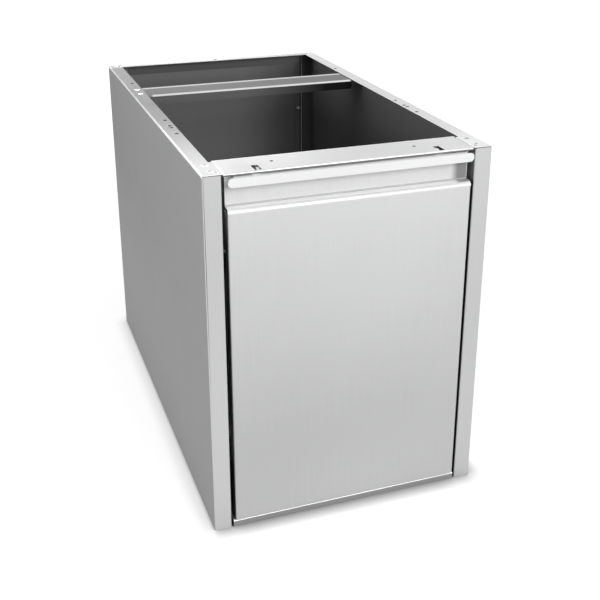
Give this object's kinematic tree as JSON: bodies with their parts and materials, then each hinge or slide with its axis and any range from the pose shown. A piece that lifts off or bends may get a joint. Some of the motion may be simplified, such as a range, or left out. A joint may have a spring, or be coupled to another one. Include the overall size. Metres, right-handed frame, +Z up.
{
  "type": "waste bin cabinet",
  "caption": "Open-topped stainless steel under-counter cabinet with a full height pull-out front, telescopic slides, a tray and a lift-out waste bin.",
  "frame": {"origin": "on the floor, under the middle of the outside box", "axes": "+X to the right seen from the front, +Y from the front to the back, +Z up"},
  "size_m": [0.4, 0.708, 0.522],
  "materials": {
    "brushed_sheet": "brushed",
    "plain_sheet": "cold rolled",
    "slide_steel": "bright zinc",
    "cage_steel": "yellow zinc",
    "ball_steel": "polished",
    "fastener_steel": "bright zinc",
    "bin_plastic": "fine grain"
  },
  "bodies": {
    "carcass": {"side_panel_left": "brushed_sheet", "side_panel_right": "brushed_sheet", "rear_panel": "brushed_sheet", "rear_panel_rivets": "fastener_steel", "bottom_panel": "brushed_sheet", "front_top_rail": "brushed_sheet", "rear_top_rail": "brushed_sheet", "cross_rail": "brushed_sheet", "slide_support_left": "plain_sheet", "slide_support_right": "plain_sheet", "slide_outer_left": "slide_steel", "slide_outer_right": "slide_steel", "slide_screws_left": "fastener_steel", "slide_screws_right": "fastener_steel"},
    "drawer": {"slide_inner_left": "slide_steel", "slide_inner_right": "slide_steel", "tray_screws_left": "fastener_steel", "tray_screws_right": "fastener_steel", "bin_tray": "brushed_sheet", "bin_stop": "brushed_sheet", "front_bracket_left": "plain_sheet", "front_bracket_right": "plain_sheet", "front_bracket_screws": "fastener_steel", "tray_bracket_screws": "fastener_steel", "front_skin": "brushed_sheet", "front_inner_panel": "brushed_sheet", "grip_strip": "brushed_sheet"},
    "middle_left": {"slide_middle_left": "slide_steel"},
    "middle_right": {"slide_middle_right": "slide_steel"},
    "bin": {"waste_bin": "bin_plastic"},
    "outer_cage_left": {"outer_ball_cage_left": "cage_steel", "outer_balls_left": "ball_steel"},
    "inner_cage_left": {"inner_ball_cage_left": "cage_steel", "inner_balls_left": "ball_steel"},
    "outer_cage_right": {"outer_ball_cage_right": "cage_steel", "outer_balls_right": "ball_steel"},
    "inner_cage_right": {"inner_ball_cage_right": "cage_steel", "inner_balls_right": "ball_steel"}
  },
  "joints": [
    {"name": "drawer_slide", "type": "slide", "parent": "carcass", "child": "drawer", "axis": [0, -1, 0], "range_m": [0, 0.5]},
    {"name": "middle_left_slide", "type": "slide", "parent": "carcass", "child": "middle_left", "axis": [0, -1, 0], "range_m": [0, 0.25]},
    {"name": "outer_cage_left_slide", "type": "slide", "parent": "carcass", "child": "outer_cage_left", "axis": [0, -1, 0], "range_m": [0, 0.125]},
    {"name": "inner_cage_left_slide", "type": "slide", "parent": "carcass", "child": "inner_cage_left", "axis": [0, -1, 0], "range_m": [0, 0.375]},
    {"name": "middle_right_slide", "type": "slide", "parent": "carcass", "child": "middle_right", "axis": [0, -1, 0], "range_m": [0, 0.25]},
    {"name": "outer_cage_right_slide", "type": "slide", "parent": "carcass", "child": "outer_cage_right", "axis": [0, -1, 0], "range_m": [0, 0.125]},
    {"name": "inner_cage_right_slide", "type": "slide", "parent": "carcass", "child": "inner_cage_right", "axis": [0, -1, 0], "range_m": [0, 0.375]},
    {"name": "bin_lift", "type": "slide", "parent": "drawer", "child": "bin", "axis": [0, 0, 1], "range_m": [0, 0.525]}
  ],
  "couplings": [
    {"joint": "middle_left_slide", "follows": "drawer_slide", "ratio": 0.5},
    {"joint": "outer_cage_left_slide", "follows": "drawer_slide", "ratio": 0.25},
    {"joint": "inner_cage_left_slide", "follows": "drawer_slide", "ratio": 0.75},
    {"joint": "middle_right_slide", "follows": "drawer_slide", "ratio": 0.5},
    {"joint": "outer_cage_right_slide", "follows": "drawer_slide", "ratio": 0.25},
    {"joint": "inner_cage_right_slide", "follows": "drawer_slide", "ratio": 0.75}
  ]
}
